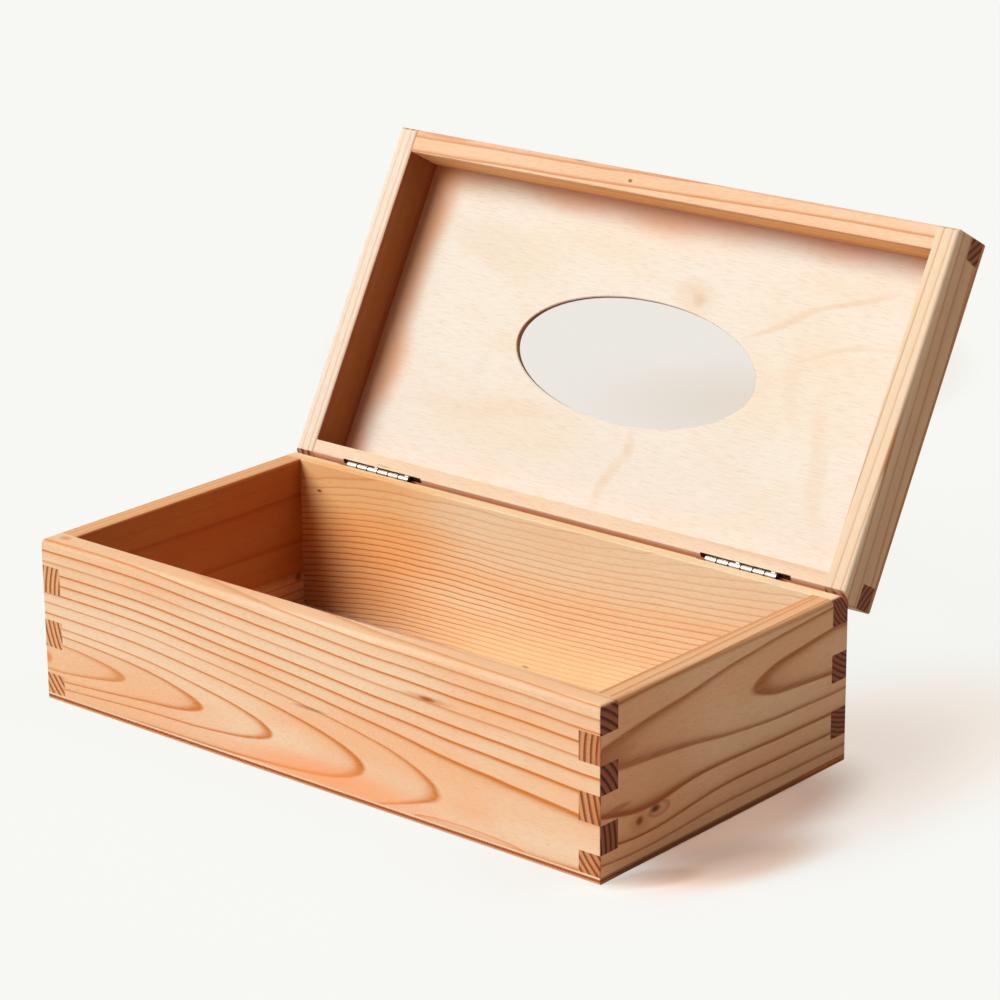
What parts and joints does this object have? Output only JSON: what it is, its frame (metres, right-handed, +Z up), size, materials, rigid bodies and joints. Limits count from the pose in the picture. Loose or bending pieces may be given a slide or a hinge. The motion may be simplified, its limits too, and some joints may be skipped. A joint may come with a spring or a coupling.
{
  "type": "hinged-lid tissue box",
  "caption": "Finger-jointed pine tissue box whose hinged lid, with an oval hand hole, leans back on two small barrel hinges pressed into saw kerfs.",
  "frame": {"origin": "centre of the flat underside of the bottom panel", "axes": "+X along the box's length to the right, +Y to the back where the hinges are, +Z up"},
  "size_m": [0.25, 0.207, 0.1714],
  "materials": {
    "pine": "bare sanded pine, growth rings along each board and ring ends on the finger ends",
    "panel_veneer": "pale rotary-cut face veneer with fine short flecks",
    "panel_core": "cross-laid core layer, seen only on edges",
    "hinge_steel": "bright nickel-plated sheet steel",
    "hinge_pin": "bright steel wire"
  },
  "bodies": {
    "base": {"base_front_board": "pine", "base_back_board": "pine", "base_left_end": "pine", "base_right_end": "pine", "bottom_panel_outer_veneer": "panel_veneer", "bottom_panel_core": "panel_core", "bottom_panel_inner_veneer": "panel_veneer", "left_hinge_base_leaf": "hinge_steel", "left_hinge_pin": "hinge_pin", "right_hinge_base_leaf": "hinge_steel", "right_hinge_pin": "hinge_pin"},
    "lid": {"lid_front_rail": "pine", "lid_back_rail": "pine", "lid_left_rail": "pine", "lid_right_rail": "pine", "lid_panel_inner_veneer": "panel_veneer", "lid_panel_core": "panel_core", "lid_panel_outer_veneer": "panel_veneer", "left_hinge_lid_leaf": "hinge_steel", "right_hinge_lid_leaf": "hinge_steel"}
  },
  "joints": [
    {"name": "lid_hinge", "type": "hinge", "parent": "base", "child": "lid", "pos_m": [0, 0.0629, 0.05965], "axis": [1, 0, 0], "range_deg": [0, 119]}
  ]
}
